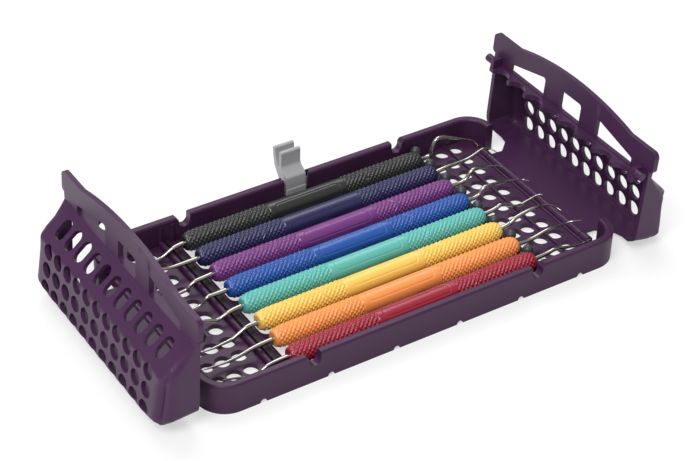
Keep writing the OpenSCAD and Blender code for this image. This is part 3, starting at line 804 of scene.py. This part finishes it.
@dataclass
class Lid:
    """Swing lid with its comb.

    Sizes are the closed lid's: u runs inward from the hinge, y along it and v upward.
    The roof is the top and the slope.  walls are those of end panel, caps and roof, and
    rings the depths of the cuts beside the outer edges.  A zone is a distance and the
    length over which the radius changes there; ridge_zone is only the length.
    """

    side: Side
    hinge_x: float = 90.9
    hinge_z: float = 2.0
    half: float = 52.8
    panel_u: float = -0.12
    top: float = 29.5
    ridge: tuple[float, float] = (24.6, 26.65)
    slope_foot: tuple[float, float] = (36.38, 13.8)
    rim_v: float = 11.8
    walls: tuple[float, float, float] = (1.3, 2.0, 1.9)
    rings: tuple[float, ...] = (1.0, 2.16, 3.0, 3.81, 5.2, 6.5, 9.0)
    corner_r: float = 6.5
    edge_r: float = 4.6
    slope_r: float = 4.0
    plan_r: float = 9.0
    rim_r: float = 5.0
    inner_less: float = 2.0
    least_r: float = 0.05
    least_share: float = 0.1
    ridge_zone: float = 6.0
    foot_zone: tuple[float, float] = (0.5, 4.0)
    cap_zone: tuple[float, float] = (12.0, 6.0)
    roof_zone: tuple[float, float] = (6.0, 8.0)
    rim_zone: tuple[float, float] = (16.0, 6.0)
    rim_slack: float = 0.1
    outer_slack: float = 0.3
    cap_start: float = 36.0
    cut_gap: float = 0.002
    swing: Mapping[Side, float] = field(
        default_factory=lambda: {Side.LEFT: 87.85, Side.RIGHT: 93.73}
    )

    def place(self) -> Matrix:
        """Place of the open lid.

        Returns:
            The matrix from the closed lid's coordinates to the world, in millimetres.
        """
        spin = 0.0 if self.side is Side.LEFT else math.pi
        hinge = Matrix.Translation((-self.hinge_x, 0, self.hinge_z))
        opened = Matrix.Rotation(-math.radians(self.swing[self.side]), 4, "Y")
        return Matrix.Rotation(spin, 4, "Z") @ hinge @ opened

    def outer_planes(self) -> list[tuple[Vector, Vector]]:
        """Outer planes of the end panel, top and slope.

        Returns:
            A point and the inward normal of each.
        """
        corner, ridge, foot = (
            Vector((u, 0, v)) for u, v in ((self.panel_u, self.top), self.ridge, self.slope_foot)
        )
        along = Vector((0, 1, 0))
        return [
            (corner, Vector((1, 0, 0))),
            (corner, along.cross(ridge - corner).normalized()),
            (ridge, along.cross(foot - ridge).normalized()),
        ]

    def cut_rings(self, bm: bmesh.types.BMesh) -> None:
        """Cuts the faces along lines beside the outer edges, which the roundings then bend.

        Args:
            bm: the closed lid, in millimetres.
        """
        caps = [(Vector((0, s * self.half, 0)), Vector((0, -s, 0))) for s in (-1, 1)]
        for point, inward in [*self.outer_planes(), *caps]:
            for depth in self.rings:
                bmesh.ops.bisect_plane(
                    bm, geom=[*bm.verts, *bm.edges, *bm.faces], dist=self.cut_gap,
                    plane_co=point + inward * depth, plane_no=inward,
                )

    def radius_at(self, height: float, depths: Sequence[float], lean: float) -> float:
        """Radius of the outer rounding near a point.

        Args:
            height: the point's v.
            depths: its depths under the end panel, the nearer cap and the roof.
            lean: 1 under the top, 0 under the slope, and between them near the ridge.

        Returns:
            The radius in millimetres.
        """
        above_foot = height - self.slope_foot[1] - self.foot_zone[0]
        low = self.slope_r * min(1.0, max(self.least_share, above_foot / self.foot_zone[1]))
        near_cap = clamped((self.cap_zone[0] - depths[1]) / self.cap_zone[1])
        high = self.edge_r + (self.corner_r - self.edge_r) * near_cap
        under_roof = clamped((depths[2] - self.roof_zone[0]) / self.roof_zone[1])
        return low + (high - low + (self.plan_r - self.corner_r) * under_roof) * lean

    def round_box(self, bm: bmesh.types.BMesh) -> None:
        """Draws the corners of end panel, caps and roof onto balls and round edges.

        Args:
            bm: the closed lid, in millimetres.
        """
        (panel, panel_in), (_, top_in), (ridge, slope_in) = self.outer_planes()
        for v in bm.verts:
            at = v.co
            under_top, under_slope = (at - ridge).dot(top_in), (at - ridge).dot(slope_in)
            lean = clamped(0.5 + (under_slope - under_top) / self.ridge_zone)
            depths = [
                (at - panel).dot(panel_in), self.half - abs(at.y), min(under_top, under_slope)
            ]
            inside = clamped(min(d / w for d, w in zip(depths, self.walls)))
            radius = self.radius_at(at.z, depths, lean) - self.inner_less * inside
            radius = max(self.least_r, radius)
            gaps = [max(0.0, radius - (d - inside * w)) for d, w in zip(depths, self.walls)]
            length = math.hypot(*gaps)
            if length <= radius or min(depths) < -self.outer_slack:
                continue
            cap_in = Vector((0, -math.copysign(1.0, at.y), 0))
            roof_in = (top_in * lean + slope_in * (1 - lean)).normalized()
            for gap, inward in zip(gaps, (panel_in, cap_in, roof_in)):
                at += inward * gap * (1 - radius / length)

    def round_rims(self, bm: bmesh.types.BMesh) -> None:
        """Rounds the caps where their rims meet the end panel.

        Args:
            bm: the closed lid, in millimetres.
        """
        for v in bm.verts:
            under_cap = self.half - abs(v.co.y)
            near_cap = clamped((self.rim_zone[0] - under_cap) / self.rim_zone[1])
            over_rim = v.co.z - self.rim_v
            gaps = (self.rim_r - v.co.x + self.panel_u, self.rim_r - over_rim)
            length = math.hypot(*gaps)
            if min(gaps) <= 0 or length <= self.rim_r:
                continue
            if over_rim > -self.rim_slack and abs(v.co.y) > self.cap_start:
                share = near_cap * (1 - self.rim_r / length)
                v.co += Vector((gaps[0] * share, 0, gaps[1] * share))

    def round_corners(self, bm: bmesh.types.BMesh) -> None:
        """Gives the lid its ball-like corners.

        Args:
            bm: the open lid in its place, in metres.
        """
        place = self.place()
        bm.transform(place.inverted() @ TO_MILLIMETRES)
        self.cut_rings(bm)
        self.round_box(bm)
        self.round_rims(bm)
        bm.transform(TO_METRES @ place)

    def build(self) -> None:
        """Dresses the lid and its comb."""
        word = self.side.word
        body = f"{word}_lid_body"
        DressedSolid(
            f"{word}_lid", body, LID_RESIN, soften=0.55, segments=3, form=self.round_corners
        ).build()
        DressedSolid(f"{word}_comb", body, LID_RESIN, soften=0.25).build()


@dataclass
class Studio:
    """Floor, lights and camera.

    The camera's angles are degrees and its distances millimetres.  Lamps, floor and
    the camera's view_range are in metres.
    """

    focal: float = 102.05
    sensor: float = 36.0
    azimuth: float = -33.85
    elevation: float = 36.95
    roll: float = 2.0
    offset_x: float = -2.42
    offset_y: float = 13.38
    distance: float = 812.17
    base: float = 0.8
    view_range: tuple[float, float] = (0.05, 20.0)
    floor_half: float = 4.0
    floor_drop: float = 0.0001
    floor_glow: float = 0.55
    floor_white: Colour = (0.86, 0.86, 0.86)
    floor_rough: float = 0.9
    ambient: float = 0.45

    def camera(self) -> None:
        """Makes the camera at the photograph's viewing angle."""
        a, e, r = (math.radians(v) for v in (self.azimuth, self.elevation, self.roll))
        back = Vector((math.sin(a) * math.cos(e), -math.cos(a) * math.cos(e), math.sin(e)))
        right = (-back).cross(Vector((0, 0, 1))).normalized()
        up = right.cross(-back)
        across = right * math.cos(r) + up * math.sin(r)
        above = -right * math.sin(r) + up * math.cos(r)
        at = across * self.offset_x + above * self.offset_y + back * self.distance
        at = mm(*(at + Vector((0, 0, self.base))))
        data = bpy.data.cameras.new("camera")
        data.lens, data.sensor_width = self.focal, self.sensor
        data.clip_start, data.clip_end = self.view_range
        eye = bpy.data.objects.new("camera", data)
        columns = (across, above, back, at)
        eye.matrix_world = Matrix([*([c[k] for c in columns] for k in range(3)), (0, 0, 0, 1)])
        bpy.context.scene.collection.objects.link(eye)
        bpy.context.scene.camera = eye

    def lamp(self, name: str, at: Point, size: float, power: float) -> None:
        """Adds a soft square lamp that faces the object.

        Args:
            name: name of the lamp.
            at: its place in metres.
            size: its side in metres.
            power: its power in watts.
        """
        data = bpy.data.lights.new(name, "AREA")
        data.size, data.energy = size, power
        lamp = bpy.data.objects.new(name, data)
        lamp.location = at
        lamp.rotation_euler = (-Vector(at)).to_track_quat("-Z", "Y").to_euler()
        bpy.context.scene.collection.objects.link(lamp)

    def floor_paint(self) -> bpy.types.Material:
        """Builds the floor's paint, matt white and partly glowing to the camera.

        Returns:
            The material.
        """
        paint = bpy.data.materials.new("floor_paint")
        paint.use_nodes = True
        tree = paint.node_tree
        nodes = tree.nodes
        matt, out = nodes["Principled BSDF"], nodes["Material Output"]
        set_inputs(matt, {"Base Color": (*self.floor_white, 1), "Roughness": self.floor_rough})
        glow = nodes.new("ShaderNodeEmission")
        set_inputs(glow, {"Color": (1, 1, 1, 1), "Strength": 1.0})
        sight = nodes.new("ShaderNodeLightPath")
        part = arithmetic(tree, "MULTIPLY", sight.outputs["Is Camera Ray"], self.floor_glow)
        blend = nodes.new("ShaderNodeMixShader")
        for start, end in zip((part, matt.outputs[0], glow.outputs[0]), blend.inputs):
            tree.links.new(start, end)
        tree.links.new(blend.outputs[0], out.inputs["Surface"])
        return paint

    def floor(self) -> None:
        """Makes the floor."""
        bm = bmesh.new()
        bmesh.ops.create_grid(bm, x_segments=1, y_segments=1, size=self.floor_half)
        bmesh.ops.translate(bm, verts=bm.verts, vec=(0, 0, -self.floor_drop))
        mesh = bpy.data.meshes.new("floor")
        bm.to_mesh(mesh)
        bm.free()
        mesh.materials.append(self.floor_paint())
        floor = bpy.data.objects.new("floor", mesh)
        bpy.context.scene.collection.objects.link(floor)

    def surroundings(self) -> None:
        """Lights the scene softly from all round and shows white to the camera."""
        world = bpy.data.worlds.new("studio")
        world.use_nodes = True
        tree = world.node_tree
        tree.nodes.clear()
        sight = tree.nodes.new("ShaderNodeLightPath")
        blend = tree.nodes.new("ShaderNodeMixShader")
        tree.links.new(sight.outputs["Is Camera Ray"], blend.inputs[0])
        for strength, place in zip((self.ambient, 1.0), blend.inputs[1:]):
            light = tree.nodes.new("ShaderNodeBackground")
            set_inputs(light, {"Color": (1, 1, 1, 1), "Strength": strength})
            tree.links.new(light.outputs[0], place)
        out = tree.nodes.new("ShaderNodeOutputWorld")
        tree.links.new(blend.outputs[0], out.inputs["Surface"])
        bpy.context.scene.world = world

    def build(self) -> None:
        """Builds the studio."""
        self.camera()
        self.floor()
        self.surroundings()
        self.lamp("key", (-0.9, -0.5, 1.5), size=0.9, power=23.5)
        self.lamp("top", (0.3, 0.9, 1.5), size=1.2, power=16.5)
        bpy.context.scene.view_settings.view_transform = "Standard"


def main() -> None:
    """Builds the cassette piece by piece, then the studio round it."""
    DressedSolid("tray", "tray_body", TRAY_RESIN, segments=3).build()
    for side in Side:
        HingePin(side).build()
        Lid(side).build()
    Rail(Side.LEFT, fingers=False).build()
    Rail(Side.RIGHT, fingers=True).build()
    DressedSolid("clip", "clip_body", CLIP_RESIN).build()
    for number in range(1, len(HANDLE_COLOURS) + 1):
        Instrument(number).build()
    Studio().build()


if __name__ == "__main__":
    logging.basicConfig(level=logging.INFO, format="%(message)s")
    main()
